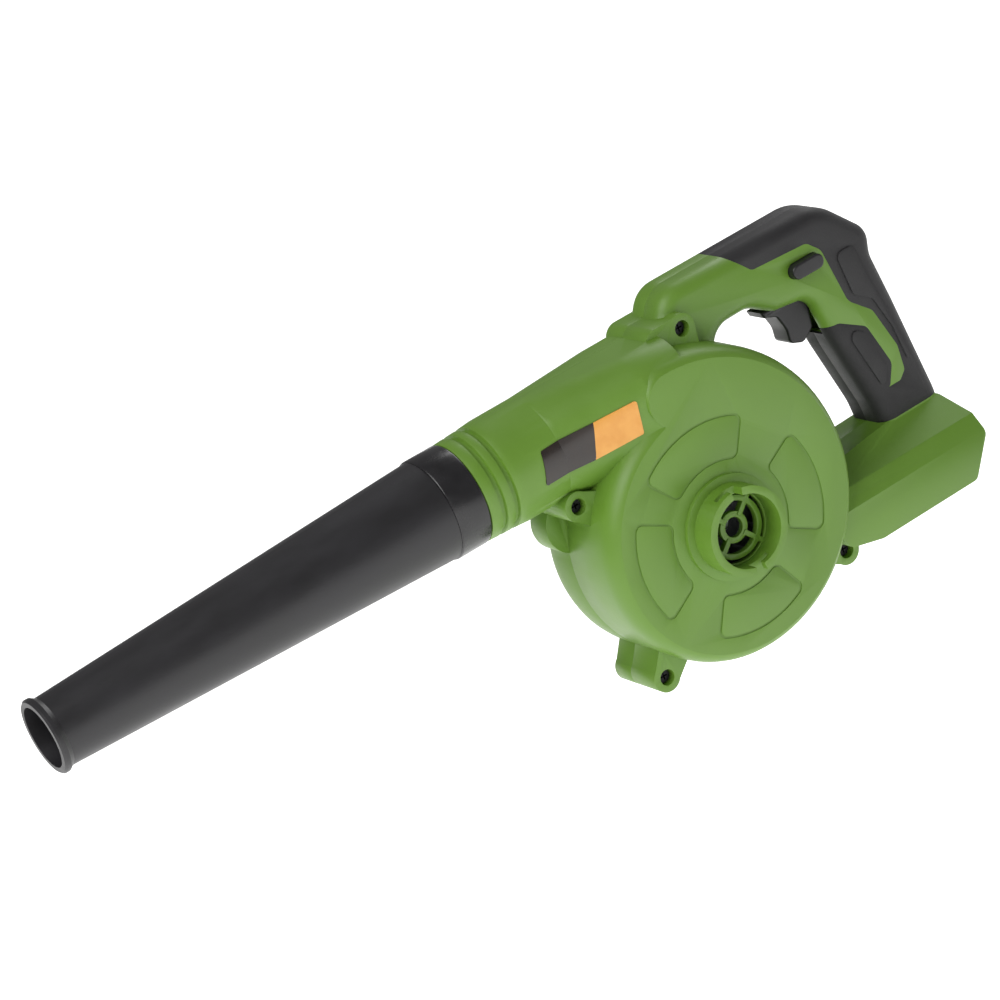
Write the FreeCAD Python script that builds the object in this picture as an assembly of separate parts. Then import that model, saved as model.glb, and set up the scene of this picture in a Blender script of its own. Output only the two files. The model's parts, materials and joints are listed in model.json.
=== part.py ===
# Cordless leaf blower: a scroll-shaped fan housing with a tapered nozzle, a D-shaped grip and a
# battery foot. The battery pack is not fitted. Lengths are in millimetres.
#
# The pieces are drawn about the parting plane of the two shells (y = 0) and the impeller axis
# (the Y axis): +X points to the rear, the nozzle points to -X, the inlet faces -Y, +Z is up.
# When a piece is written it moves so that the origin is the centre of the inlet collar's mouth.
import FreeCAD, Part
import math
import os

Vector = FreeCAD.Vector
along_x = Vector(1, 0, 0)
along_y = Vector(0, 1, 0)
along_z = Vector(0, 0, 1)

# ---- driving dimensions ----
wall = 2.5                 # shell wall
rubber_depth = 1.8         # grip overmould thickness
pad_height = 0.8           # raised pads on its cheeks
running_gap = 0.05         # radial clearance of a shaft in its bearing
sliding_gap = 0.35         # clearance round pieces that move by hand

nozzle_axis_z = 72.0       # outlet tube and nozzle axis above the impeller axis
outlet_radius = 28.5       # outlet tube, outside
outlet_bore = 25.0         # outlet tube, inside
neck_radius = 27.0         # grooved neck just behind the cuff
neck_groove_depth = 1.2
cuff_front_x = -131.2
cuff_back_x = -112.9
cuff_radius = 27.2
spigot_radius = 23.6       # part of the outlet that the cuff slides over
spigot_front_x = -128.5
nozzle_tip_x = -354.6
nozzle_mouth_bore = 15.9
nozzle_tip_radius = 17.7
nozzle_rim_radius = 19.5
nozzle_root_radius = 26.5

scroll_tongue_angle = 104.0    # where the scroll meets the outlet tube
scroll_arcs = [                # centre x and z, radius, start and end angle; each arc leads into the next
    (1, 0, 71, scroll_tongue_angle, 270), (1, 8, 79, 270, 360), (-6, 8, 86, 0, 90),
]
drum_front_y = -30.0           # straight side wall, then a bevel to the face
face_y = -41.5
drum_back_y = 15.0
back_face_y = 28.0
face_inset = 5.5
back_inset = 8.0
rim_bands = 5                  # bands of a rounded rim
rim_sweep = 74.0

collar_mouth_y = -58.0
collar_radius = 23.0
collar_bore = 19.0
collar_foot_radius = 27.3

grip_half_width = 16.2
foot_half_width = 37.0
foot_bottom_z = -53.0
foot_top_z = -8.0
band_top_z = 9.0               # black band round the foot of the grip

impeller_radius = 54.0
impeller_front_y = -34.0
impeller_back_y = -11.0
blade_count = 11
shaft_radius = 2.5
motor_radius = 19.0
motor_front_y = -5.0
motor_back_y = 44.0
motor_pocket_radius = 21.0
motor_cover_radius = 30.0
motor_cover_end_y = 57.0


# ---- helpers ----
def box(x0, x1, y0, y1, z0, z1):
    return Part.makeBox(x1 - x0, y1 - y0, z1 - z0, Vector(x0, y0, z0))


def rod(radius, start, end):
    start = Vector(*start)
    run = Vector(*end) - start
    return Part.makeCylinder(radius, run.Length, start, run)


def pin_y(x, z, radius, y0, y1):
    return rod(radius, (x, y0, z), (x, y1, z))


def joined(shapes):
    return shapes[0].multiFuse(shapes[1:]).removeSplitter()


def without(shape, tools):
    return shape.cut(Part.makeCompound(tools)) if len(tools) > 1 else shape.cut(tools[0])


def rounded_wire(corners):
    """Closed outline in the XZ plane from (x, z, corner radius)."""
    edges = []
    ends = []
    count = len(corners)
    for i, (x, z, radius) in enumerate(corners):
        here = Vector(x, 0, z)
        before = Vector(corners[i - 1][0], 0, corners[i - 1][1]) - here
        after = Vector(corners[(i + 1) % count][0], 0, corners[(i + 1) % count][1]) - here
        if radius == 0:
            ends.append((here, here))
            continue
        half = before.getAngle(after) / 2
        reach = radius / math.tan(half)
        before.normalize()
        after.normalize()
        middle = (before + after).normalize() * (radius / math.sin(half) - radius)
        first = here + before * reach
        last = here + after * reach
        ends.append((first, last))
        edges.append(Part.Arc(first, here + middle, last).toShape())
    for i, (first, last) in enumerate(ends):
        follower = ends[(i + 1) % count][0]
        edges.append(Part.makeLine(last, follower))
    return Part.Wire(Part.__sortEdges__(edges))


def slab(wire, y0, y1):
    """An XZ outline made into a plate between two y values."""
    face = Part.Face(wire)
    face.translate(Vector(0, y0, 0))
    return face.extrude(Vector(0, y1 - y0, 0))


def turned_about_nozzle(profile):
    """A closed (x, radius) profile spun about the nozzle axis."""
    points = [Vector(x, 0, nozzle_axis_z + radius) for x, radius in profile]
    face = Part.Face(Part.makePolygon(points + [points[0]]))
    return face.revolve(Vector(0, 0, nozzle_axis_z), along_x, 360)


def turned_about_fan(profile):
    """A closed (y, radius) profile spun about the impeller axis."""
    points = [Vector(radius, y, 0) for y, radius in profile]
    face = Part.Face(Part.makePolygon(points + [points[0]]))
    return face.revolve(Vector(0, 0, 0), along_y, 360)


def ring_y(outer, inner, y0, y1):
    return pin_y(0, 0, outer, y0, y1).cut(pin_y(0, 0, inner, y0 - 1, y1 + 1))


def save(name, solids):
    """Writes one sub-part, moved so that the origin is the inlet collar's mouth."""
    shape = solids[0] if len(solids) == 1 else Part.makeCompound(solids)
    shape = shape.copy()
    shape.translate(Vector(0, -collar_mouth_y, 0))
    shape.exportStep("parts/" + name + ".step")


# ---- outer forms and hollows of the shells ----
def polar(radius, degrees):
    angle = math.radians(degrees)
    return Vector(radius * math.cos(angle), 0, radius * math.sin(angle))


def tangent_arc(start, heading, end):
    """Arc from start to end that leaves along heading."""
    chord = end - start
    side = Vector(-heading.z, 0, heading.x)
    radius = chord.dot(chord) / (2 * chord.dot(side))
    centre = start + side * radius
    outward = (start + end) * 0.5 - centre
    outward.normalize()
    return Part.Arc(start, centre + outward * abs(radius), end).toShape()


def scroll_wire(inset, y):
    """Scroll outline: three growing arcs from the tongue to the top, closed by a small arc to the tongue."""
    edges = []
    for centre_x, centre_z, radius, start_angle, end_angle in scroll_arcs:
        centre = Vector(centre_x, 0, centre_z)
        angles = (start_angle, (start_angle + end_angle) / 2, end_angle)
        points = [centre + polar(radius - inset, degrees) for degrees in angles]
        edges.append(Part.Arc(points[0], points[1], points[2]).toShape())
    tongue = edges[0].Vertexes[0].Point
    top = edges[-1].Vertexes[-1].Point
    edges.append(tangent_arc(top, Vector(-1, 0, 0), tongue))
    wire = Part.Wire(edges)
    wire.translate(Vector(0, y, 0))
    return wire


def drum(inset):
    """The scroll casing with bevelled rims; inset makes its hollow."""
    rims = [(drum_front_y, face_y + inset, face_inset), (drum_back_y, back_face_y - inset, back_inset)]
    pieces = [slab(scroll_wire(inset, 0), drum_front_y, drum_back_y)]
    for y_wide, y_narrow, narrowing in rims:
        sections = []
        for step in range(rim_bands + 1):
            turn = math.radians(rim_sweep * step / rim_bands)
            depth = math.sin(turn) / math.sin(math.radians(rim_sweep))
            drawn_in = (1 - math.cos(turn)) / (1 - math.cos(math.radians(rim_sweep)))
            sections.append(scroll_wire(inset + narrowing * drawn_in, y_wide + (y_narrow - y_wide) * depth))
        pieces.append(Part.makeLoft(sections, True, True))
    return joined(pieces)


def outlet(radius, inset):
    """Outlet tube; its rear end is a ball that sinks into the scroll."""
    tube = rod(radius, (cuff_back_x + 24 - inset, 0, nozzle_axis_z), (0, 0, nozzle_axis_z))
    ball = Part.makeSphere(radius, Vector(0, 0, nozzle_axis_z))
    return tube.fuse(ball)


def flare(extra):
    """Where the round outlet widens on the inlet side to meet the scroll's face."""
    def section(x, front, half_height, corner):
        low, high = nozzle_axis_z - half_height - extra, nozzle_axis_z + half_height + extra
        back = outlet_radius - 0.5
        wire = rounded_wire([(-front - extra, low, corner), (back, low, corner), (back, high, corner),
                             (-front - extra, high, corner)])
        wire.rotate(Vector(0, 0, 0), along_z, 90)
        wire.translate(Vector(x, 0, 0))
        return wire
    height = outlet_radius - 0.2
    start = section(-66, height, height, 27.5)
    full = section(-16, -face_y - 0.6, height, 20)
    end = section(8, -face_y - 0.6, height, 20)
    return Part.makeLoft([start, full, end], True, True)


def neck():
    """Grooved neck and the spigot that carries the cuff."""
    groove_floor = neck_radius - neck_groove_depth
    taper_end = cuff_back_x + 24
    profile = [
        (spigot_front_x, 0), (spigot_front_x, spigot_radius - 1), (spigot_front_x + 1, spigot_radius),
        (cuff_back_x, spigot_radius), (cuff_back_x, neck_radius),
        (-106.8, neck_radius + 0.4), (-106.4, groove_floor), (-104.0, groove_floor), (-103.6, neck_radius + 0.5),
        (-99.3, neck_radius + 0.7), (-98.9, groove_floor + 0.3), (-96.5, groove_floor + 0.3),
        (-96.1, neck_radius + 0.9), (taper_end, outlet_radius), (taper_end, 0),
    ]
    return turned_about_nozzle(profile)


handle_corners = [
    (0, 70, 0), (9, 92, 14), (23.5, 115.5, 17), (126, 115.5, 26), (150, 90, 11), (147, 77, 16),
    (151, 50, 80), (158, -6, 30), (158, -26, 0), (121, -26, 0), (118.5, 2, 50), (108, 42, 50),
    (103, 73, 9), (82, 75.5, 9), (68, 84.5, 14), (47, 84, 13), (36, 62, 0),
]


def handle(inset):
    """Arm and grip of the D handle, rounded across; inset makes the core and the hollow."""
    wire = rounded_wire(handle_corners)
    if inset > 0:
        wire = Part.Face(wire).makeOffset2D(-inset).OuterWire
    half = grip_half_width - inset
    body = slab(wire, -half, half)
    rounding = max(8.0 - inset, 2.5)
    rims = [edge for edge in body.Edges if edge.BoundBox.YLength < 0.01]
    return body.makeFillet(rounding, rims)


foot_side = [
    (58, -32, 0), (64, -48, 5), (84, foot_bottom_z, 8), (149, foot_bottom_z, 4), (163, -33, 4), (162, -21, 3),
    (156, foot_top_z, 3), (120, foot_top_z, 20), (62, foot_top_z - 4, 0),
]


def foot(inset):
    """Battery foot: a side outline crossed with a roof-shaped end outline."""
    side = rounded_wire(foot_side)
    if inset > 0:
        side = Part.Face(side).makeOffset2D(-inset).OuterWire
    half = foot_half_width - inset
    low = foot_bottom_z + inset
    slope = [(half, low), (half, -30 - inset * 0.4), (32 - inset, -21 - inset * 0.7), (15 - inset, foot_top_z - inset)]
    end = [Vector(0, y, z) for y, z in slope] + [Vector(0, -y, z) for y, z in reversed(slope)]
    prism = Part.Face(Part.makePolygon(end + [end[0]]))
    prism.translate(Vector(50, 0, 0))
    return slab(side, -60, 60).common(prism.extrude(Vector(120, 0, 0)))


housing_screw_places = [(23, 97), (-65.5, 43), (-53, -62), (69.5, -55)]
handle_screw_places = [(36, 102), (135, 92), (147, 8), (149, -35.5)]
boss_face_y = -22.0
boss_back_y = 15.0
boss_radius = 7.8
screw_shank = 1.9
screw_head = 3.3
screw_recess = 4.2
handle_screw_depth = 3.8


def boss_web(x, z, y0, y1, spread):
    """Web that ties an outer boss to the scroll: a wedge towards the impeller axis."""
    reach = math.hypot(x, z)
    inward = Vector(-x / reach, 0, -z / reach)
    across = Vector(inward.z, 0, -inward.x)
    centre = Vector(x, y0, z)
    corners = [
        centre + across * (boss_radius - 0.3), centre + inward * 24 + across * spread,
        centre + inward * 24 - across * spread, centre - across * (boss_radius - 0.3),
    ]
    return Part.Face(Part.makePolygon(corners + [corners[0]])).extrude(Vector(0, y1 - y0, 0))


def housing_bosses():
    shapes = []
    for x, z in housing_screw_places:
        shapes.append(pin_y(x, z, boss_radius, boss_face_y, boss_back_y))
        shapes.append(boss_web(x, z, boss_face_y, boss_back_y, 11))
    shapes.append(pin_y(-61, 28, 15.5, 0, boss_back_y))
    shapes.append(pin_y(8, 96, 8, boss_face_y, boss_back_y))
    shapes.append(box(8, 23, boss_face_y, boss_back_y, 88, 104))
    return shapes


def handle_posts(hull):
    """Screw posts across the hollow handle and foot."""
    posts = [pin_y(x, z, 5.6, -40, 40) for x, z in handle_screw_places]
    return [post.common(hull) for post in posts]


def screw_holes():
    holes = []
    for x, z in housing_screw_places:
        holes.append(pin_y(x, z, screw_shank + 0.3, boss_face_y - 1, 0))
        holes.append(pin_y(x, z, screw_recess, boss_face_y - 1, boss_face_y + 6))
        holes.append(pin_y(x, z, screw_shank + 0.05, 0, 15))
    for x, z in handle_screw_places:
        side = foot_half_width if z < -20 else grip_half_width
        holes.append(pin_y(x, z, screw_shank + 0.3, 0, side + 1))
        holes.append(pin_y(x, z, screw_recess, side - handle_screw_depth, side + 1))
        holes.append(pin_y(x, z, screw_shank + 0.05, -12, 0))
    return holes


# ---- trigger, lock and battery pocket that the shells make room for ----
trigger_corners = [
    (77, 76.6, 0), (78, 73.2, 1), (85, 70.5, 3), (88, 62, 10), (87.5, 54, 3), (95.5, 50.8, 4), (103.5, 56, 3),
    (105.5, 76.6, 1),
]
trigger_travel = 6.0
trigger_half_width = 7.5
lock_x, lock_z = 104.5, 91.0
lock_half_length, lock_half_height = 10.0, 4.0
lock_out_y = -21.0


def oval(x, z, half_length, half_height, y0, y1):
    block = box(x - half_length + half_height, x + half_length - half_height, y0, y1, z - half_height, z + half_height)
    ends = [pin_y(x + s * (half_length - half_height), z, half_height, y0, y1) for s in (-1, 1)]
    return joined([block] + ends)


def battery_pocket():
    """T-shaped slot for the pack's rails, open at the bottom and at the rear."""
    return [box(92, 170, -25.5, 25.5, -60, -49), box(92, 170, -29, 29, -50.2, -43.5)]


def rubber_region():
    """Overmoulded area: crown with backstrap, palm panel, and the band that joins them above the foot."""
    crown = [
        (54, 126, 0), (75, 103, 4), (110, 101, 5), (117, 94, 6), (122.5, 62, 8), (134.5, 51, 6), (142, 27, 8),
        (141.5, 13, 3), (137, band_top_z, 2), (92, band_top_z, 0), (92, foot_top_z, 0), (170, foot_top_z, 0),
        (180, 60, 0), (150, 140, 0),
    ]
    palm = [
        (92, 50, 0), (97, 54, 2), (113, 54, 4), (128, 45, 6), (135.5, 20, 6), (130, band_top_z, 2),
        (92, band_top_z, 0),
    ]
    return joined([slab(rounded_wire(crown), -30, 30), slab(rounded_wire(palm), -30, 30)])


# ---- the two shells ----
def air_path_shell():
    """Scroll, outlet and inlet collar as one wall, open from the inlet to the spigot."""
    seal_groove = ring_x(spigot_radius + 1, spigot_radius - 1, -125.7, -123.7)
    spigot = joined([neck().cut(seal_groove)] + bayonet_lugs())
    outside = joined([drum(0), outlet(outlet_radius, 0), flare(0), spigot] + housing_bosses())
    collar = [
        pin_y(0, 0, collar_foot_radius, face_y - 2.2, face_y + 2),
        pin_y(0, 0, collar_radius, collar_mouth_y, face_y + 2),
    ]
    outside = joined([outside] + collar)
    hollow = joined([drum(wall), outlet(outlet_bore, 1)])
    bore = rod(outlet_bore - 4, (spigot_front_x - 1, 0, nozzle_axis_z), (cuff_back_x + 12, 0, nozzle_axis_z))
    throat = Part.makeCone(outlet_bore - 4, outlet_bore, 14, Vector(cuff_back_x + 10, 0, nozzle_axis_z), along_x)
    inlet = [pin_y(0, 0, collar_bore, collar_mouth_y - 1, face_y + 5)]
    inlet.append(pin_y(0, 0, 21.0, face_y - 3.5, face_y + 5))
    return without(outside, [hollow, bore, throat] + inlet + bayonet_notches())


def bayonet_notches():
    """Two L-shaped slots in the collar wall, for a bayonet tube or bag."""
    notches = []
    for start in (80, 260):
        entry = sector(24, 18, start, start + 16, collar_mouth_y - 1, collar_mouth_y + 7)
        catch = sector(24, 18, start, start + 34, collar_mouth_y + 3.8, collar_mouth_y + 7)
        notches.append(entry.fuse(catch))
    return notches


def sector(outer, inner, start, end, y0, y1):
    """Part of a ring about the impeller axis, angles in degrees from +X towards +Z."""
    def at(radius, degrees):
        angle = math.radians(degrees)
        return Vector(radius * math.cos(angle), y0, radius * math.sin(angle))
    middle = (start + end) / 2
    edges = [
        Part.Arc(at(outer, start), at(outer, middle), at(outer, end)).toShape(),
        Part.makeLine(at(outer, end), at(inner, end)),
        Part.Arc(at(inner, end), at(inner, middle), at(inner, start)).toShape(),
        Part.makeLine(at(inner, start), at(outer, start)),
    ]
    return Part.Face(Part.Wire(edges)).extrude(Vector(0, y1 - y0, 0))


def softened(plate, radius):
    """Rounds the corners of a plate that stands along Y."""
    upright = [e for e in plate.Edges if e.BoundBox.YLength > 1]
    corners = [e for e in upright if e.BoundBox.DiagonalLength - e.BoundBox.YLength < 0.1]
    return plate.makeFillet(radius, corners)


def face_panels():
    """Four shallow sector outlines pressed into the face."""
    lines = []
    for middle, half in ((0, 30), (96, 35), (180, 30), (270, 30)):
        panel = softened(sector(57, 34, middle - half, middle + half, face_y - 1, face_y + 0.5), 4.5)
        island = softened(sector(55.8, 35.2, middle - half + 1.6, middle + half - 1.6, face_y - 2, face_y + 2), 3.3)
        lines.append(panel.cut(island))
    return lines


def grip_shell():
    """Hollow handle and foot, with the overmould's seat, trigger slot and lock holes."""
    skin = handle(0).cut(handle(rubber_depth))
    body = handle(0).cut(skin.common(rubber_region()))
    body = body.fuse(foot(0))
    hollow = joined([handle(wall + rubber_depth), foot(wall + 0.3), box(123, 154, -11, 11, -30, -2)])
    pocket_roof = box(80, 165, -35, 35, -60, -41)
    hollow = hollow.cut(pocket_roof)
    hull = joined([handle(rubber_depth), foot(0)])
    shell = joined([body.cut(hollow)] + handle_posts(hull))
    trigger_slot = box(70, 112, -trigger_half_width - 0.5, trigger_half_width + 0.5, 50, 77.2)
    lock_hole = oval(lock_x, lock_z, lock_half_length + 0.3, lock_half_height + 0.3, -30, 30)
    return without(shell, [trigger_slot, lock_hole] + battery_pocket())


def motor_seat():
    """Cup that carries the motor inside the scroll, and the rim for its cover."""
    cup = ring_y(motor_pocket_radius + wall, motor_pocket_radius, motor_front_y - wall, back_face_y)
    floor = ring_y(motor_pocket_radius + 0.5, 7.0, motor_front_y - wall, motor_front_y)
    rim = ring_y(motor_cover_radius + 2.5, motor_pocket_radius, back_face_y - wall, back_face_y + 1.5)
    return [cup, floor, rim]


motor_screw_places = [(-14, 0), (14, 0)]
cover_screw_angles = (90, 210, 330)
cover_screw_circle = 36.0


def cover_screw_points():
    points = []
    for degrees in cover_screw_angles:
        angle = math.radians(degrees)
        points.append((cover_screw_circle * math.cos(angle), cover_screw_circle * math.sin(angle)))
    return points


def lead_duct(outside):
    """Straight covered channel on the back, from the motor cover to the foot."""
    if outside:
        return box(24, 80, 20, foot_half_width, -44, -28)
    return box(20, 92, back_face_y + 0.2, foot_half_width - 2.2, -41, -31)


def shells():
    air = air_path_shell()
    solid_air = joined([drum(0), outlet(outlet_radius, 0), flare(0)])
    grip = grip_shell().cut(solid_air)
    duct = lead_duct(True).cut(joined([drum(0), foot(wall)]))
    cup, floor, rim = motor_seat()
    whole = joined([air, grip, duct, rim])
    cover_posts = [pin_y(x, z, 3.6, back_face_y - 9, back_face_y + 0.5) for x, z in cover_screw_points()]
    whole = joined([whole] + cover_posts)
    cuts = screw_holes() + face_panels()
    cuts += [pin_y(x, z, screw_shank + 0.05, back_face_y - 8, back_face_y + 1) for x, z in cover_screw_points()]
    cuts.append(pin_y(0, 0, motor_pocket_radius, 0, back_face_y + 5))
    cuts.append(lead_duct(False).cut(ring_y(33, 1, 0, 60)))
    whole = without(whole, cuts)
    front = whole.common(box(-300, 300, -200, 0, -200, 200))
    back = whole.common(box(-300, 300, 0, 200, -200, 200))
    floor_holes = [pin_y(x, z, 1.8, motor_front_y - 4, motor_front_y + 1) for x, z in motor_screw_places]
    back = joined([back, cup, floor.cut(Part.makeCompound(floor_holes))])
    return front, back


def save_shells():
    front, back = shells()
    save("inlet_side_shell", [front])
    save("motor_side_shell", [back])


def grip_pads():
    """Raised pads on both cheeks of the grip."""
    backstrap = [
        (124, 88, 4), (136, 88, 4), (138, 70, 6), (143.5, 45, 8), (148, 18, 1.2), (145, 18, 1.2), (142.5, 38, 8),
        (136.5, 57, 6), (126.5, 64, 4),
    ]
    palm = [(119, 47, 3), (126, 42.5, 4), (131.5, 20, 6), (128, 12.5, 2), (125, 12.5, 2), (116.8, 42, 4)]
    pads = []
    for corners in (backstrap, palm):
        for side in (-1, 1):
            low, high = sorted((side * (grip_half_width - 3), side * (grip_half_width + pad_height)))
            pads.append(slab(rounded_wire(corners), low, high))
    return pads


def save_grip_rubber():
    """Overmoulded grip, one half on each shell."""
    skin = handle(0).cut(handle(rubber_depth))
    skin = skin.cut(joined([drum(0), foot(0)]))
    skin = skin.cut(oval(lock_x, lock_z, lock_half_length + 0.8, lock_half_height + 0.8, -30, 30))
    skin = skin.cut(box(70, 112, -trigger_half_width - 0.5, trigger_half_width + 0.5, 50, 77.2))
    for x, z in handle_screw_places:
        skin = skin.cut(pin_y(x, z, screw_recess, 0, 40))
    sides = {"inlet_side": box(0, 200, -40, 0, -60, 150), "motor_side": box(0, 200, 0, 40, -60, 150)}
    pads = joined(grip_pads()).common(rubber_region()).cut(handle(0))
    skin = joined([skin.common(rubber_region()), pads])
    for side_name, side in sides.items():
        save(side_name + "_grip_rubber", [skin.common(side)])


# ---- motor cover ----
def save_motor_cover():
    start = back_face_y + 1.6
    wall_ring = ring_y(motor_cover_radius, motor_cover_radius - wall, start, motor_cover_end_y)
    end = pin_y(0, 0, motor_cover_radius, motor_cover_end_y - wall, motor_cover_end_y)
    ears = []
    for x, z in cover_screw_points():
        ears.append(pin_y(x, z, 5.5, start, start + 3))
        ears.append(boss_bridge(x, z, start))
    cover = joined([wall_ring, end] + ears)
    rims = [e for e in cover.Edges if e.BoundBox.YMin > motor_cover_end_y - 0.01 and e.Length > 150]
    cover = cover.makeFillet(2.0, rims)
    cuts = [pin_y(x, z, screw_shank + 0.3, start - 1, start + 4) for x, z in cover_screw_points()]
    cuts.append(box(8, 32, start - 1, start + 8, -40, -17.5))
    for row in range(5):
        z = -16 + 8 * row
        half = math.sqrt(23.0 ** 2 - z ** 2)
        cuts.append(box(-half, half, motor_cover_end_y - 5, motor_cover_end_y + 1, z - 1.5, z + 1.5))
    cuts.append(pin_y(0, 0, motor_cover_radius - wall, start - 1, start + 3.5))
    save("motor_cover", [without(cover, cuts)])
    screws = [screw(x, z, start + 3.05, -1, 11) for x, z in cover_screw_points()]
    save("motor_cover_screws", screws)


def boss_bridge(x, z, start):
    """Tie between a cover screw's ear and the cover's wall."""
    reach = math.hypot(x, z)
    inner = Vector(x, 0, z) * ((motor_cover_radius - 1) / reach)
    across = Vector(z, 0, -x) * (5.5 / reach)
    outer = Vector(x, 0, z)
    corners = [outer + across, outer - across, inner - across, inner + across]
    face = Part.Face(Part.makePolygon(corners + [corners[0]]))
    face.translate(Vector(0, start, 0))
    return face.extrude(Vector(0, 3, 0))


def screw(x, z, seat_y, direction, length):
    """Pan-head screw with a cross recess; direction is the way its tip points along Y."""
    head = pin_y(x, z, screw_head, seat_y, seat_y - direction * 2.4)
    shank = pin_y(x, z, screw_shank, seat_y, seat_y + direction * length)
    top = seat_y - direction * 2.4
    floor = top + direction * 1.4
    low, high = min(top, floor), max(top, floor)
    cross = [box(x - 2, x + 2, low, high, z - 0.4, z + 0.4), box(x - 0.4, x + 0.4, low, high, z - 2, z + 2)]
    return without(joined([head, shank]), cross)


def save_screws():
    housing = [screw(x, z, boss_face_y + 6, 1, 30) for x, z in housing_screw_places]
    save("housing_screws", housing)
    handle_screws = []
    for x, z in handle_screw_places:
        side = foot_half_width if z < -20 else grip_half_width
        handle_screws.append(screw(x, z, side - handle_screw_depth, -1, side + 6))
    save("handle_screws", handle_screws)


# ---- nozzle ----
def save_nozzle():
    tip = nozzle_tip_x
    wall_at_root = 2.3
    joint_x = cuff_front_x - 13
    slope = (nozzle_root_radius - nozzle_tip_radius) / (cuff_front_x - tip)
    joint_radius = nozzle_root_radius - slope * 13 - wall_at_root
    tube = [
        (tip, nozzle_mouth_bore), (tip, nozzle_rim_radius - 1), (tip + 1, nozzle_rim_radius),
        (tip + 3, nozzle_rim_radius), (tip + 4.2, nozzle_rim_radius - 0.8), (tip + 5.5, nozzle_tip_radius + 0.2),
        (cuff_front_x, nozzle_root_radius), (cuff_front_x, joint_radius + 0.05), (joint_x, joint_radius + 0.05),
        (joint_x, joint_radius - 1.6), (tip + 8, nozzle_mouth_bore),
    ]
    save("nozzle_tube", [turned_about_nozzle(tube)])
    slot_radius = spigot_radius + 1.9
    bore = spigot_radius + 0.3
    cuff = turned_about_nozzle([
        (cuff_front_x + 0.1, joint_radius), (cuff_front_x + 0.1, cuff_radius - 0.6), (cuff_front_x + 0.7, cuff_radius),
        (cuff_back_x - 0.8, cuff_radius), (cuff_back_x - 0.3, cuff_radius - 0.5), (cuff_back_x - 0.3, bore),
        (spigot_front_x - 0.5, bore), (spigot_front_x - 0.5, joint_radius - 2), (joint_x + 0.1, joint_radius - 2),
        (joint_x + 0.1, joint_radius),
    ])
    turn_slot = ring_x(slot_radius, bore - 1, -120.3, -115.7)
    slot_starts = (81 - twist_range, 261 - twist_range)
    pie = [nozzle_wedge(start, twist_range + 18, -121, -115) for start in slot_starts]
    entry = [nozzle_wedge(start, 18, -118, cuff_back_x + 1) for start in slot_starts]
    turn_slot = turn_slot.common(joined(pie))
    entry_ring = ring_x(slot_radius, bore - 1, -118, cuff_back_x + 1)
    entries = [entry_ring.common(piece) for piece in entry]
    save("nozzle_cuff", [without(cuff, [turn_slot] + entries)])


twist_range = 30.0


def ring_x(outer, inner, x0, x1):
    centre = nozzle_axis_z
    return rod(outer, (x0, 0, centre), (x1, 0, centre)).cut(rod(inner, (x0 - 1, 0, centre), (x1 + 1, 0, centre)))


def nozzle_wedge(start, sweep, x0, x1):
    """Pie slice about the nozzle axis; angles from +Y towards +Z, reversed turns of the cuff."""
    def at(degrees):
        angle = math.radians(degrees)
        return Vector(x0, 40 * math.cos(angle), nozzle_axis_z + 40 * math.sin(angle))
    centre = Vector(x0, 0, nozzle_axis_z)
    steps = [at(start + sweep * i / 2) for i in range(3)]
    wire = Part.makePolygon([centre] + steps + [centre])
    return Part.Face(wire).extrude(Vector(x1 - x0, 0, 0))


def bayonet_lugs():
    """Two lugs on the spigot that the cuff's slots catch."""
    band = ring_x(spigot_radius + 1.5, spigot_radius - 1, -119.8, -116.2)
    return [band.common(nozzle_wedge(start, 14, -121, -115)) for start in (83, 263)]


def save_spigot_seal():
    ring = turned_about_nozzle([
        (-125.6, spigot_radius - 0.95), (-125.6, spigot_radius - 0.2), (-125.0, spigot_radius + 0.12),
        (-124.4, spigot_radius + 0.12), (-123.8, spigot_radius - 0.2), (-123.8, spigot_radius - 0.95),
    ])
    save("spigot_seal", [ring])


# ---- fan and motor ----
def save_inlet_guard():
    """Grille clipped behind the collar: hub ring, outer ring and four bars."""
    y0, y1 = face_y - 3.4, face_y + 0.4
    hub = ring_y(8.2, 5.2, y0 + 0.6, y1)
    middle = ring_y(16.4, 13.6, y0, y1)
    rim = ring_y(20.9, 18.4, y0, y1)
    bars = []
    for degrees in (42, 132, 222, 312):
        bar = box(6.5, 19.4, y0, y1, -1.3, 1.3)
        bar.rotate(Vector(0, 0, 0), along_y, -degrees)
        bars.append(bar)
    save("inlet_guard", [joined([hub, middle, rim] + bars)])


def blade(start_degrees):
    """One backward-curved blade between the hub and the rim."""
    tip_sweep = math.radians(-38)
    start = math.radians(start_degrees)
    inner, outer, thickness = 23.0, impeller_radius - 1, 1.6

    def at(radius, angle):
        return Vector(radius * math.cos(angle), impeller_front_y + 1.2, radius * math.sin(angle))
    bend = at((inner + outer) / 2, start + tip_sweep * 0.36)
    arc = Part.Arc(at(inner, start), bend, at(outer, start + tip_sweep)).toShape()
    bend_far = at((inner + outer) / 2, start + tip_sweep * 0.36 + thickness / ((inner + outer) / 2))
    far_end = at(outer, start + tip_sweep + thickness / outer)
    far = Part.Arc(far_end, bend_far, at(inner, start + thickness / inner)).toShape()
    ends = [Part.makeLine(at(outer, start + tip_sweep), far_end)]
    ends.append(Part.makeLine(at(inner, start + thickness / inner), at(inner, start)))
    wire = Part.Wire([arc, ends[0], far, ends[1]])
    return Part.Face(wire).extrude(Vector(0, impeller_back_y - impeller_front_y - 2.2, 0))


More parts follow.
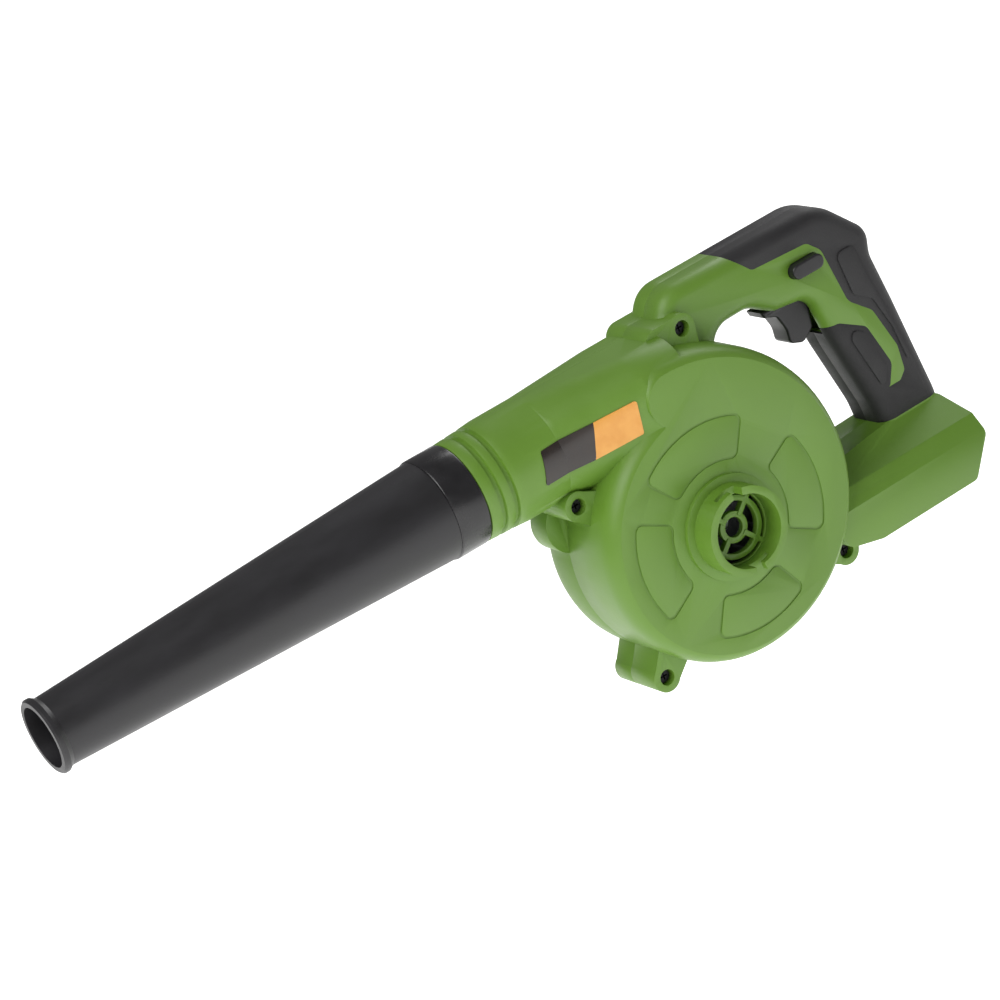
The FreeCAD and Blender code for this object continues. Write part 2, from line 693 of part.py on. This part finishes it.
def save_impeller():
    disc = ring_y(impeller_radius, shaft_radius, impeller_back_y - 2, impeller_back_y)
    hub = turned_about_fan([
        (-28, shaft_radius), (-28, 6), (-26, 8), (-18, 9), (-14, 13), (impeller_back_y - 1, 19),
        (impeller_back_y - 1, shaft_radius),
    ])
    shroud = turned_about_fan([
        (impeller_front_y, 25), (impeller_front_y, 31), (impeller_front_y + 1.5, impeller_radius),
        (impeller_front_y + 3.1, impeller_radius), (impeller_front_y + 1.6, 31), (impeller_front_y + 1.6, 25),
    ])
    blades = [blade(360 * i / blade_count) for i in range(blade_count)]
    save("impeller", [joined([disc, hub, shroud] + blades)])


def hexagon_nut(y0, y1, across_flats, bore):
    points = []
    for i in range(7):
        angle = math.radians(60 * i)
        reach = across_flats / math.sqrt(3)
        points.append(Vector(reach * math.cos(angle), y0, reach * math.sin(angle)))
    nut = Part.Face(Part.makePolygon(points)).extrude(Vector(0, y1 - y0, 0))
    return nut.cut(pin_y(0, 0, bore, y0 - 1, y1 + 1))


def save_fan_fixings():
    save("impeller_washer", [ring_y(5.0, shaft_radius, -29.0, -28.0)])
    save("impeller_nut", [hexagon_nut(-33.0, -29.0, 8.0, shaft_radius)])
    spacer = ring_y(4.5, shaft_radius, impeller_back_y, motor_front_y - 0.6)
    save("impeller_spacer", [spacer])


def save_motor():
    front = motor_front_y + 0.1
    can = ring_y(motor_radius, motor_radius - 1.5, front, motor_back_y - 8)
    face = ring_y(motor_radius - 1, 5.05, front, front + 1.6)
    threads = [pin_y(x, z, 1.55, front - 1, front + 3) for x, z in motor_screw_places]
    save("motor_can", [without(joined([can, face]), threads)])
    magnets = []
    for start in (25, 205):
        magnets.append(sector(motor_radius - 1.6, motor_radius - 4.4, start, start + 130, front + 5, front + 35))
    save("motor_magnets", magnets)
    end_y = motor_back_y
    bell = ring_y(motor_radius, 4.55, end_y - 7.9, end_y - 5)
    bell_rim = ring_y(motor_radius - 1.6, motor_radius - 3.4, end_y - 11, end_y - 7)
    bell_nose = ring_y(7.0, 4.55, end_y - 6, end_y - 1)
    tabs = [box(s * 12 - 1.6, s * 12 + 1.6, end_y - 6, end_y - 0.5, -3.2, 3.2) for s in (-1, 1)]
    holes = [box(s * 12 - 0.5, s * 12 + 0.5, end_y - 10, end_y + 1, -2.45, 2.45) for s in (-1, 1)]
    save("motor_end_bell", [without(joined([bell, bell_rim, bell_nose] + tabs), holes)])
    blades = [box(s * 12 - 0.4, s * 12 + 0.4, end_y - 9.5, end_y + 5, -2.35, 2.35) for s in (-1, 1)]
    save("motor_terminals", blades)
    save("front_bearing", [ring_y(5.0, shaft_radius + running_gap, front, front + 4)])
    save("rear_bearing", [ring_y(4.5, shaft_radius + running_gap, end_y - 6.5, end_y - 2)])
    save("motor_shaft", [turned_about_fan([
        (-35.2, 0), (-35.2, shaft_radius - 0.4), (-34.8, shaft_radius), (end_y - 2.6, shaft_radius),
        (end_y - 2.2, shaft_radius - 0.4), (end_y - 2.2, 0),
    ])])
    core = ring_y(13.6, shaft_radius, front + 8, front + 28)
    slots = []
    for i in range(7):
        slot = box(8.0, 14.0, front + 7, front + 29, -1.2, 1.2)
        slot.rotate(Vector(0, 0, 0), along_y, 360 * i / 7)
        slots.append(slot)
    save("armature_core", [without(core, slots)])
    save("armature_windings", [turned_about_fan([
        (front + 28.1, 6), (front + 28.1, 12), (front + 30, 12.6), (front + 33, 11), (front + 34, 8),
        (front + 34, 6)]), turned_about_fan([
            (front + 7.9, 6), (front + 7.9, 12), (front + 6, 12.2), (front + 5.2, 11), (front + 5.2, 6)])])
    save("commutator", [ring_y(6.0, shaft_radius, front + 28.1, end_y - 9)])
    brushes = [box(s * 8.9 - 2.6, s * 8.9 + 2.6, end_y - 12.6, end_y - 9.6, -2.2, 2.2) for s in (-1, 1)]
    save("carbon_brushes", brushes)
    screws = []
    for x, z in motor_screw_places:
        shank = pin_y(x, z, 1.5, front + 1.5, front - 3)
        head = pin_y(x, z, 2.9, front - wall - 0.15, front - wall - 2.0)
        screws.append(joined([shank, head]))
    save("motor_screws", screws)
    save("motor_damper", [ring_y(motor_pocket_radius - 0.05, motor_radius + 0.05, 16, 26)])


# ---- controls ----
def save_controls():
    half = trigger_half_width
    lever = slab(rounded_wire(trigger_corners), -half, half)
    rims = [edge for edge in lever.Edges if edge.BoundBox.YLength < 0.01 and edge.BoundBox.ZMax < 76.5]
    lever = lever.makeFillet(1.5, [edge for edge in rims if edge.BoundBox.XMax < 104])
    stem = box(103, 113.5, -4, 4, 64, 72)
    pocket = pin_x(68, 2.6, 106, 114)
    save("trigger", [joined([lever, stem]).cut(pocket)])
    save("trigger_spring", [spring(68, 0, 106.2, 120.3, 2.0, 0.35, 6)])
    case = box(112, 134, -9.5, 9.5, 59, 83)
    case = case.makeFillet(1.0, case.Edges)
    bore = box(111, 120.5, -4.3, 4.3, 63.7, 72.3)
    save("switch_body", [case.cut(bore)])
    outer = oval(lock_x, lock_z, lock_half_length, lock_half_height, lock_out_y, grip_half_width - 0.5)
    rims = [edge for edge in outer.Edges if edge.BoundBox.YMax < lock_out_y + 0.01]
    save("lock_button", [outer.makeFillet(1.2, rims)])


def pin_x(z, radius, x0, x1):
    return rod(radius, (x0, 0, z), (x1, 0, z))


def spring(z, y, x0, x1, radius, wire, turns):
    helix = Part.makeHelix((x1 - x0 - 2 * wire) / turns, x1 - x0 - 2 * wire, radius)
    start = Vector(radius, 0, 0)
    section = Part.Wire(Part.makeCircle(wire, start, along_y))
    coil = Part.Wire(helix).makePipeShell([section], True, True)
    coil.rotate(Vector(0, 0, 0), along_y, 90)
    coil.translate(Vector(x0 + wire, y, z))
    return coil


# ---- electrics in the foot ----
def save_electrics():
    block = box(95, 121, -15, 15, -50.5, -43.6)
    slots = [box(94, 117, y - 1.2, y + 1.2, -51, -45.6) for y in (-9.5, 0, 9.5)]
    save("terminal_block", [without(block, slots)])
    contacts = [box(97, 117, y - 0.4, y + 0.4, -49.8, -45.7) for y in (-9.5, 0, 9.5)]
    save("battery_contacts", contacts)
    board = box(93, 141, -22, 22, -36.6, -35)
    save("control_board", [board])
    mosfets = [box(102 + 12 * i, 111 + 12 * i, 10, 18, -35, -31) for i in range(2)]
    capacitor = rod(4.5, (103, -12, -35), (103, -12, -24))
    plug = box(126, 134, -16, -8, -35, -29)
    save("board_components", mosfets + [capacitor, plug])
    save("board_standoffs", [rod(2.5, (x, y, -41), (x, y, -36.6)) for x in (97, 137) for y in (-19, 19)])


def lead(points, radius):
    """Insulated wire along straight runs joined by tangent arcs."""
    points = [Vector(*point) for point in points]
    edges = []
    start = points[0]
    for before, corner, after in zip(points, points[1:], points[2:]):
        back = before - corner
        ahead = after - corner
        shorter = min(back.Length, ahead.Length)
        half = back.getAngle(ahead) / 2
        reach = 0.45 * shorter
        bend = reach * math.tan(half)
        back.normalize()
        ahead.normalize()
        first = corner + back * reach
        last = corner + ahead * reach
        middle = corner + (back + ahead).normalize() * (bend / math.sin(half) - bend)
        edges.append(Part.makeLine(start, first))
        edges.append(Part.Arc(first, middle, last).toShape())
        start = last
    edges.append(Part.makeLine(start, points[-1]))
    section = Part.Wire(Part.makeCircle(radius, points[0], points[1] - points[0]))
    return Part.Wire(edges).makePipeShell([section], True, False)


def save_leads():
    wire = 1.1
    switch = [lead([(138, y, -34.8), (137, y, 2), (125, y, 34), (124, y, 58.8)], wire) for y in (-4, 4)]
    save("switch_leads", switch)
    end_y = motor_back_y + 5 + wire + 0.2
    lane_z = -34.3
    board_top = -35 + wire + 0.4
    plus = [(12, end_y, -1.5), (12.5, end_y + 0.3, -14), (17, 33, -21.5), (25.5, 30.3, lane_z - 2.7)]
    plus += [(86, 29.8, lane_z), (97, 16, board_top)]
    minus = [(-12, end_y, -1.5), (-11, end_y + 0.4, -15), (13, 34.5, -22.8), (27, 33, lane_z - 2.9)]
    minus += [(90, 33, lane_z), (98, 20.5, board_top)]
    save("motor_leads", [lead(plus, wire), lead(minus, wire)])


# ---- two-tone badge on the outlet tube ----
def save_badge():
    depth = 0.45
    skin = rod(outlet_radius + depth, (-84, 0, nozzle_axis_z), (-20, 0, nozzle_axis_z)).fuse(flare(depth))
    skin = skin.common(box(-90, -7, -60, 0, 50, 95))
    skin = skin.cut(joined([outlet(outlet_radius, 0), flare(0), drum(0)]))
    halves = {
        "badge_dark": [(-80.4, 63.3, 1.2), (-52.3, 63.9, 0), (-47.2, 81.9, 0), (-76.7, 80.7, 1.2)],
        "badge_orange": [(-52.3, 63.9, 0), (-26, 65.8, 1.2), (-24, 83.2, 1.2), (-47.2, 81.9, 0)],
    }
    for name, corners in halves.items():
        save(name, [skin.common(slab(rounded_wire(corners), -60, 0))])


if __name__ == "__main__":
    os.makedirs("parts", exist_ok=True)
    save_shells()
    save_grip_rubber()
    save_motor_cover()
    save_screws()
    save_nozzle()
    save_spigot_seal()
    save_inlet_guard()
    save_impeller()
    save_fan_fixings()
    save_motor()
    save_controls()
    save_electrics()
    save_leads()
    save_badge()
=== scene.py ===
import bpy
import bmesh
import json
import math
from mathutils import Matrix, Vector


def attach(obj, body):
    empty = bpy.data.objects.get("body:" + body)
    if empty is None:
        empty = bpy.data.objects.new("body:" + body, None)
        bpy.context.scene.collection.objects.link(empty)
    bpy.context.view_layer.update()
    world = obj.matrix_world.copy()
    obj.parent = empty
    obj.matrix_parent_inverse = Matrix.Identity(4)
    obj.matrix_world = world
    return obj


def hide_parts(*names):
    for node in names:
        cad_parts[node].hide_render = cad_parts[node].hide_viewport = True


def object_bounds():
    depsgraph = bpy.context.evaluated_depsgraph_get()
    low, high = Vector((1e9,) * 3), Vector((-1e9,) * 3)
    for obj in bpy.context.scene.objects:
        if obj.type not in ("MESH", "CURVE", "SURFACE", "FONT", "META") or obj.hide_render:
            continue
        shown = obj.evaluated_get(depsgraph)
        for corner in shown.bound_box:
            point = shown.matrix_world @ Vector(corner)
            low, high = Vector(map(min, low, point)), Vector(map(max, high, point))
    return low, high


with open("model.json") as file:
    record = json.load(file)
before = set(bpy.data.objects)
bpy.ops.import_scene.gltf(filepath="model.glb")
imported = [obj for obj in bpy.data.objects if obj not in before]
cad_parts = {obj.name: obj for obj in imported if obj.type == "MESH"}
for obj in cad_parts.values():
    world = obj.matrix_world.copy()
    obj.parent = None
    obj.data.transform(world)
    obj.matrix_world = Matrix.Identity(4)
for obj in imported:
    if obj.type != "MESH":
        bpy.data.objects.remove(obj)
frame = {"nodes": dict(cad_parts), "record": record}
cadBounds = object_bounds()
print("frame loaded:", len(frame["nodes"]), "nodes")

mm = 0.001

view = {
    "place": (-0.7927, -1.4467, 0.6777),
    "azimuth": -24.92,        # degrees, from +Y towards +X
    "elevation": 20.47,
    "roll": -21.3,
    "lens": 129.6,            # mm
    "sensor": 36.0,           # mm
    "nearest": 0.01,          # metres
}


def makeCamera():
    data = bpy.data.cameras.new("studioCamera")
    data.lens = view["lens"]
    data.sensor_width = view["sensor"]
    data.clip_start = view["nearest"]
    camera = bpy.data.objects.new("studioCamera", data)
    bpy.context.scene.collection.objects.link(camera)
    turn = Matrix.Rotation(math.radians(view["azimuth"]), 4, "Z")
    tilt = Matrix.Rotation(math.radians(90 - view["elevation"]), 4, "X")
    roll = Matrix.Rotation(math.radians(view["roll"]), 4, "Z")
    camera.matrix_world = Matrix.Translation(view["place"]) @ turn @ tilt @ roll
    bpy.context.scene.camera = camera
    return camera


studio = {
    "floorDrop": 0.10,        # metres under the object, so that it floats above the sheet
    "floorSize": 9.0,
    "floorColour": "F6F6F4",
    "floorRoughness": 0.9,
    "lamps": [
        # name, direction to the lamp, distance, size, watts
        ("keySoftbox", (-0.75, -0.35, 1.0), 1.6, 1.2, 18),
        ("fillSoftbox", (-0.3, -1.0, 0.1), 2.2, 1.8, 4),
        ("rimSoftbox", (0.9, 0.5, 0.7), 1.8, 1.0, 9),
    ],
    "sky": 0.22,
    "floorGlow": 0.85,
}


def linear(hexColour, alpha=1.0):
    channels = []
    for i in (0, 2, 4):
        value = int(hexColour[i:i + 2], 16) / 255
        channels.append(value / 12.92 if value <= 0.04045 else ((value + 0.055) / 1.055) ** 2.4)
    return (*channels, alpha)


def objectCentre():
    low, high = cadBounds
    return (Vector(low) + Vector(high)) / 2


def makeFloor():
    centre = objectCentre()
    floorHeight = cadBounds[0][2] - studio["floorDrop"]
    bm = bmesh.new()
    bmesh.ops.create_grid(bm, x_segments=1, y_segments=1, size=studio["floorSize"] / 2)
    bmesh.ops.translate(bm, verts=bm.verts, vec=(centre.x, centre.y, floorHeight))
    mesh = bpy.data.meshes.new("paleFloor")
    bm.to_mesh(mesh)
    bm.free()
    floor = bpy.data.objects.new("paleFloor", mesh)
    bpy.context.scene.collection.objects.link(floor)
    material = bpy.data.materials.new("paperWhite")
    material.use_nodes = True
    shader = material.node_tree.nodes["Principled BSDF"]
    shader.inputs["Base Color"].default_value = linear(studio["floorColour"])
    shader.inputs["Roughness"].default_value = studio["floorRoughness"]
    shader.inputs["Emission Color"].default_value = (1, 1, 1, 1)
    shader.inputs["Emission Strength"].default_value = studio["floorGlow"]
    mesh.materials.append(material)


def makeLamps():
    centre = objectCentre()
    for name, direction, distance, size, watts in studio["lamps"]:
        data = bpy.data.lights.new(name, "AREA")
        data.size = size
        data.energy = watts
        lamp = bpy.data.objects.new(name, data)
        away = Vector(direction).normalized()
        lamp.rotation_euler = away.to_track_quat("Z", "Y").to_euler()
        lamp.location = centre + away * distance
        bpy.context.scene.collection.objects.link(lamp)


def makeRoom():
    # dim even light on the object, and plain white where the camera sees past the floor
    world = bpy.data.worlds.new("softRoom")
    world.use_nodes = True
    tree = world.node_tree
    background = tree.nodes["Background"]
    background.inputs["Color"].default_value = (1, 1, 1, 1)
    seen = addNode(tree, "ShaderNodeLightPath")
    strength = addNode(tree, "ShaderNodeMapRange", {"To Min": studio["sky"], "To Max": 1.0},
                       {"Value": seen.outputs["Is Camera Ray"]})
    tree.links.new(strength.outputs["Result"], background.inputs["Strength"])
    bpy.context.scene.world = world
    bpy.context.scene.view_settings.view_transform = "Standard"


def addNode(tree, kind, settings=None, links=None):
    node = tree.nodes.new(kind)
    for key, value in (settings or {}).items():
        if key in node.inputs:
            node.inputs[key].default_value = value
        else:
            setattr(node, key, value)
    for key, source in (links or {}).items():
        tree.links.new(source, node.inputs[key])
    return node


surface = {
    "mottleDetail": 3.0,
    "grainDetail": 2.0,
    "darkEnds": 0.35,         # where the mottling noise leaves the dark tone
    "lightStarts": 0.65,
    "glossFrom": 0.3,         # span of the noise that carries the gloss
    "glossTo": 0.7,
    "grainDepth": 0.4,        # height of a grain as a share of its width
}


def mouldedSurface(name, spec):
    # a moulded, drawn or cast surface: two close tones, a grain bump and uneven gloss, all at real sizes
    material = bpy.data.materials.new(name)
    material.use_nodes = True
    tree = material.node_tree
    shader = tree.nodes["Principled BSDF"]
    shader.inputs["Metallic"].default_value = spec.get("metallic", 0.0)
    if "ior" in spec:
        shader.inputs["IOR"].default_value = spec["ior"]
    if "coat" in spec:
        shader.inputs["Coat Weight"].default_value = spec["coat"]
        shader.inputs["Coat Roughness"].default_value = spec["coatRoughness"]
    if "sheen" in spec:
        shader.inputs["Sheen Weight"].default_value = spec["sheen"]
    place = addNode(tree, "ShaderNodeTexCoord")
    stretch = addNode(tree, "ShaderNodeMapping", {"Scale": spec.get("stretch", (1, 1, 1))},
                      {"Vector": place.outputs["Object"]})
    mottle = addNode(tree, "ShaderNodeTexNoise",
                     {"Scale": 1 / (spec["mottle"] * mm), "Detail": surface["mottleDetail"]},
                     {"Vector": stretch.outputs["Vector"]})
    tones = addNode(tree, "ShaderNodeValToRGB", None, {"Fac": mottle.outputs["Fac"]})
    tones.color_ramp.elements[0].position = surface["darkEnds"]
    tones.color_ramp.elements[1].position = surface["lightStarts"]
    tones.color_ramp.elements[0].color = linear(spec["dark"])
    tones.color_ramp.elements[1].color = linear(spec["light"])
    tree.links.new(tones.outputs["Color"], shader.inputs["Base Color"])
    low, high = spec["gloss"]
    span = {"From Min": surface["glossFrom"], "From Max": surface["glossTo"], "To Min": low, "To Max": high}
    gloss = addNode(tree, "ShaderNodeMapRange", span, {"Value": mottle.outputs["Fac"]})
    tree.links.new(gloss.outputs["Result"], shader.inputs["Roughness"])
    grain = addNode(tree, "ShaderNodeTexNoise",
                    {"Scale": 1 / (spec["grain"] * mm), "Detail": surface["grainDetail"]},
                    {"Vector": stretch.outputs["Vector"]})
    grainHeight = spec["grain"] * mm * surface["grainDepth"]
    bump = addNode(tree, "ShaderNodeBump", {"Strength": spec["bump"], "Distance": grainHeight},
                   {"Height": grain.outputs["Fac"]})
    tree.links.new(bump.outputs["Normal"], shader.inputs["Normal"])
    return material


finishes = {
    # ABS, moulded in a lightly etched tool: even lime-olive with a fine satin grain
    "mouldedAbsGreen": {"dark": "638A2B", "light": "658C2D", "mottle": 18, "gloss": (0.40, 0.48),
                        "grain": 0.7, "bump": 0.12, "ior": 1.53},
    # thermoplastic elastomer overmould: dry, dark charcoal with a pebbled skin
    "overmouldRubber": {"dark": "1C1B1D", "light": "222123", "mottle": 9, "gloss": (0.58, 0.70),
                        "grain": 0.8, "bump": 0.28, "ior": 1.5, "sheen": 0.08},
    # polyethylene tube: soft waxy sheen, slightly uneven along its length
    "mouldedNozzleBlack": {"dark": "201F21", "light": "252427", "mottle": 14, "gloss": (0.36, 0.46),
                           "grain": 0.9, "bump": 0.10, "ior": 1.51, "stretch": (0.4, 1, 1)},
    # nylon collar: harder and glossier than the tube it carries
    "polishedNylonBlack": {"dark": "1B1A1C", "light": "222123", "mottle": 11, "gloss": (0.22, 0.30),
                           "grain": 0.9, "bump": 0.05, "ior": 1.53},
    # acetal controls: smooth black with a low sheen
    "acetalBlack": {"dark": "1E1D1F", "light": "262527", "mottle": 8, "gloss": (0.34, 0.42), "grain": 0.6,
                    "bump": 0.08, "ior": 1.48},
    # glass-filled nylon fan: mid grey with fibre streaks
    "glassFilledNylon": {"dark": "75787A", "light": "8B8E90", "mottle": 6, "gloss": (0.45, 0.58),
                         "grain": 0.5, "bump": 0.15, "ior": 1.53, "stretch": (1, 1, 0.3)},
    # cold-drawn steel: streaked grey metal
    "drawnSteel": {"dark": "A9ABAE", "light": "C4C6C8", "mottle": 5, "gloss": (0.28, 0.40), "grain": 0.35,
                   "bump": 0.10, "metallic": 1.0, "stretch": (1, 0.15, 1)},
    # zinc plate over a rolled screw: bright with a faint haze
    "zincPlatedSteel": {"dark": "B9BCC0", "light": "D0D2D5", "mottle": 3, "gloss": (0.22, 0.34),
                        "grain": 0.4, "bump": 0.08, "metallic": 1.0},
    # black-oxide screw: dark blue-black metal with rubbed edges
    "blackOxideSteel": {"dark": "17171A", "light": "232327", "mottle": 2, "gloss": (0.34, 0.46),
                        "grain": 0.4, "bump": 0.10, "metallic": 0.7},
    # sintered ferrite magnet: dull dark grey, slightly pitted
    "sinteredFerrite": {"dark": "323236", "light": "404044", "mottle": 3, "gloss": (0.6, 0.75),
                        "grain": 0.4, "bump": 0.3},
    # enamelled copper winding: red-brown metal in fine strands
    "enamelledCopper": {"dark": "9A4B22", "light": "C06A35", "mottle": 1.2, "gloss": (0.25, 0.38),
                        "grain": 0.5, "bump": 0.4, "metallic": 1.0, "stretch": (1, 0.2, 1)},
    # pressed carbon brush and moulded components: soft black
    "pressedCarbon": {"dark": "1C1C1D", "light": "29292A", "mottle": 2, "gloss": (0.5, 0.65), "grain": 0.3,
                      "bump": 0.2},
    # epoxy-glass board under solder mask: deep glossy green with faint tracks
    "solderMaskBoard": {"dark": "0E3B24", "light": "1A5A38", "mottle": 1.6, "gloss": (0.22, 0.32),
                        "grain": 0.8, "bump": 0.1, "stretch": (1, 0.25, 1)},
    # silicone wire skin: soft dark red
    "siliconeWireSkin": {"dark": "7E1414", "light": "941C1C", "mottle": 4, "gloss": (0.42, 0.5),
                         "grain": 0.4, "bump": 0.05},
    # printed vinyl film under clear varnish, brown-black half of the badge
    "varnishedFilmDark": {"dark": "1F1611", "light": "261B14", "mottle": 7, "gloss": (0.26, 0.34),
                          "grain": 1.0, "bump": 0.03, "coat": 0.4, "coatRoughness": 0.15},
    # the same film, orange half
    "varnishedFilmOrange": {"dark": "E09A3C", "light": "E8A548", "mottle": 7, "gloss": (0.28, 0.36),
                            "grain": 1.0, "bump": 0.03, "coat": 0.4, "coatRoughness": 0.15},
}

finishOf = {
    "mouldedAbsGreen": ["inlet_side_shell", "motor_side_shell", "motor_cover", "inlet_guard"],
    "overmouldRubber": ["inlet_side_grip_rubber", "motor_side_grip_rubber", "spigot_seal", "motor_damper"],
    "mouldedNozzleBlack": ["nozzle_tube"],
    "polishedNylonBlack": ["nozzle_cuff"],
    "acetalBlack": ["trigger", "lock_button", "switch_body", "terminal_block", "motor_end_bell"],
    "glassFilledNylon": ["impeller", "board_standoffs"],
    "drawnSteel": ["motor_can", "motor_shaft", "armature_core", "front_bearing", "rear_bearing",
                   "impeller_spacer", "impeller_washer", "trigger_spring"],
    "zincPlatedSteel": ["impeller_nut", "motor_screws"],
    "blackOxideSteel": ["housing_screws", "handle_screws", "motor_cover_screws"],
    "sinteredFerrite": ["motor_magnets"],
    "enamelledCopper": ["armature_windings", "commutator", "motor_terminals", "battery_contacts"],
    "pressedCarbon": ["carbon_brushes", "board_components"],
    "solderMaskBoard": ["control_board"],
    "siliconeWireSkin": ["switch_leads", "motor_leads"],
    "varnishedFilmDark": ["badge_dark"],
    "varnishedFilmOrange": ["badge_orange"],
}


def paintNodes():
    for finish, names in finishOf.items():
        material = mouldedSurface(finish, finishes[finish])
        for name in names:
            mesh = frame["nodes"][name].data
            mesh.materials.clear()
            mesh.materials.append(material)


softEdges = {
    # node: bevel width in mm of its moulded edges
    "inlet_side_shell": 0.5,
    "motor_side_shell": 0.5,
    "motor_cover": 0.5,
    "inlet_guard": 0.35,
    "inlet_side_grip_rubber": 0.35,
    "motor_side_grip_rubber": 0.35,
    "trigger": 0.5,
    "lock_button": 0.4,
    "nozzle_cuff": 0.35,
}


softening = {
    "merge": 0.004,           # mm between corners that are one
    "flat": 0.3,              # degrees below which two faces are one
    "corner": 32,             # degrees above which an edge is rounded
    "steps": 2,
}


def bodyOf(node):
    for body, members in frame["record"]["behaviour"]["bodies"].items():
        if node in members:
            return body
    return None


def softenNode(name, width):
    source = frame["nodes"][name]
    bm = bmesh.new()
    bm.from_mesh(source.data)
    bmesh.ops.remove_doubles(bm, verts=bm.verts, dist=softening["merge"] * mm)
    flat = math.radians(softening["flat"])
    bmesh.ops.dissolve_limit(bm, angle_limit=flat, verts=bm.verts, edges=bm.edges)
    mesh = bpy.data.meshes.new(name + "_moulded")
    bm.to_mesh(mesh)
    bm.free()
    mesh.materials.append(source.data.materials[0])
    mesh.shade_smooth()
    piece = bpy.data.objects.new(name + "_moulded", mesh)
    bpy.context.scene.collection.objects.link(piece)
    edges = piece.modifiers.new("mouldedEdges", "BEVEL")
    edges.width = width * mm
    edges.segments = softening["steps"]
    edges.limit_method = "ANGLE"
    edges.angle_limit = math.radians(softening["corner"])
    edges.use_clamp_overlap = True
    edges.harden_normals = True
    edges.miter_outer = "MITER_ARC"
    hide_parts(name)
    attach(piece, bodyOf(name))
    return piece


makeCamera()
makeFloor()
makeLamps()
makeRoom()
print("camera and studio made")
paintNodes()
print("finishes made:", len(finishOf))
for name, width in softEdges.items():
    softenNode(name, width)
print("moulded edges softened:", len(softEdges))
